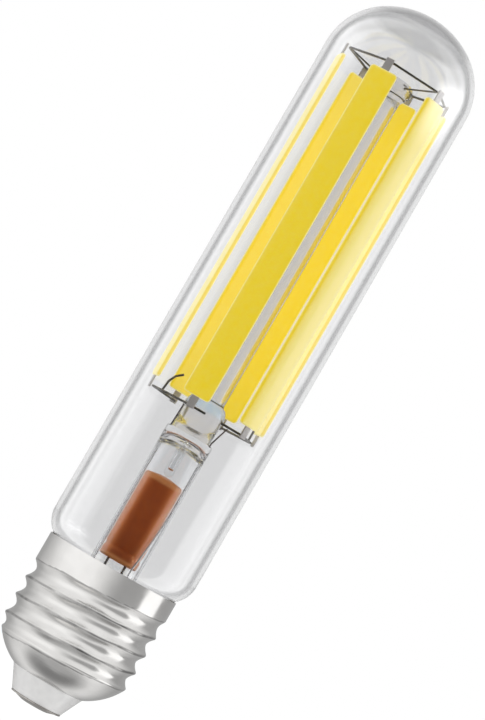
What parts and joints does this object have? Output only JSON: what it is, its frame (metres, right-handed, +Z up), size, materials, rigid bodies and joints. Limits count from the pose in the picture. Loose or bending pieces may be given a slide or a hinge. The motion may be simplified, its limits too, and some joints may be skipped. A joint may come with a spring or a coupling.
{
  "type": "led filament bulb",
  "caption": "Clear tubular glass lamp with upright yellow LED filament strips round a glass rod, on a metal E27 screw cap.",
  "frame": {"origin": "centre of the flat lower face of the centre contact, on the lamp's axis", "axes": "+Z up the lamp's axis from the contact to the dome; -Y towards the viewer of the picture, +X to the viewer's right"},
  "size_m": [0.0296, 0.0296, 0.1452],
  "materials": {
    "envelope_glass": "clear, smooth",
    "stem_glass": "clear, smooth",
    "rod_glass": "clear, smooth",
    "cage_wire": "drawn nickel wire, satin",
    "lead_wire": "drawn coated wire, satin",
    "cap_metal": "nickel plated sheet, satin bright",
    "insulator": "moulded, pale grey, soft sheen",
    "contact_metal": "pressed plate, satin",
    "cement": "baked cement, matt",
    "board": "laminate with solder mask, matt",
    "capacitor_sleeve": "shrunk sleeve, soft sheen",
    "pigtail_wire": "tinned wire",
    "component_black": "moulded, matt",
    "choke_ferrite": "pressed ferrite, matt",
    "resistor_body": "dipped coating, matt",
    "filament_coating": "phosphor in silicone, matt yellow",
    "tab_metal": "stamped tab, satin"
  },
  "bodies": {
    "root": {"glass_envelope": "envelope_glass", "stem_glass": "stem_glass", "centre_rod": "rod_glass", "anchor_wires": "cage_wire", "upper_ring": "cage_wire", "lower_bus_left": "cage_wire", "lower_bus_right": "cage_wire", "lead_wire_left": "lead_wire", "lead_wire_right": "lead_wire", "cap_shell": "cap_metal", "cap_insulator": "insulator", "centre_contact": "contact_metal", "basing_cement": "cement", "driver_board": "board", "smoothing_capacitor": "capacitor_sleeve", "capacitor_leads": "pigtail_wire", "bridge_rectifier": "component_black", "driver_chip": "component_black", "choke": "choke_ferrite", "fuse_resistor": "resistor_body", "neutral_wire": "pigtail_wire", "live_wire": "pigtail_wire", "filament_1": "filament_coating", "filament_1_upper_tab": "tab_metal", "filament_1_lower_tab": "tab_metal", "filament_2": "filament_coating", "filament_2_upper_tab": "tab_metal", "filament_2_lower_tab": "tab_metal", "filament_3": "filament_coating", "filament_3_upper_tab": "tab_metal", "filament_3_lower_tab": "tab_metal", "filament_4": "filament_coating", "filament_4_upper_tab": "tab_metal", "filament_4_lower_tab": "tab_metal", "filament_5": "filament_coating", "filament_5_upper_tab": "tab_metal", "filament_5_lower_tab": "tab_metal", "filament_6": "filament_coating", "filament_6_upper_tab": "tab_metal", "filament_6_lower_tab": "tab_metal"}
  },
  "joints": []
}
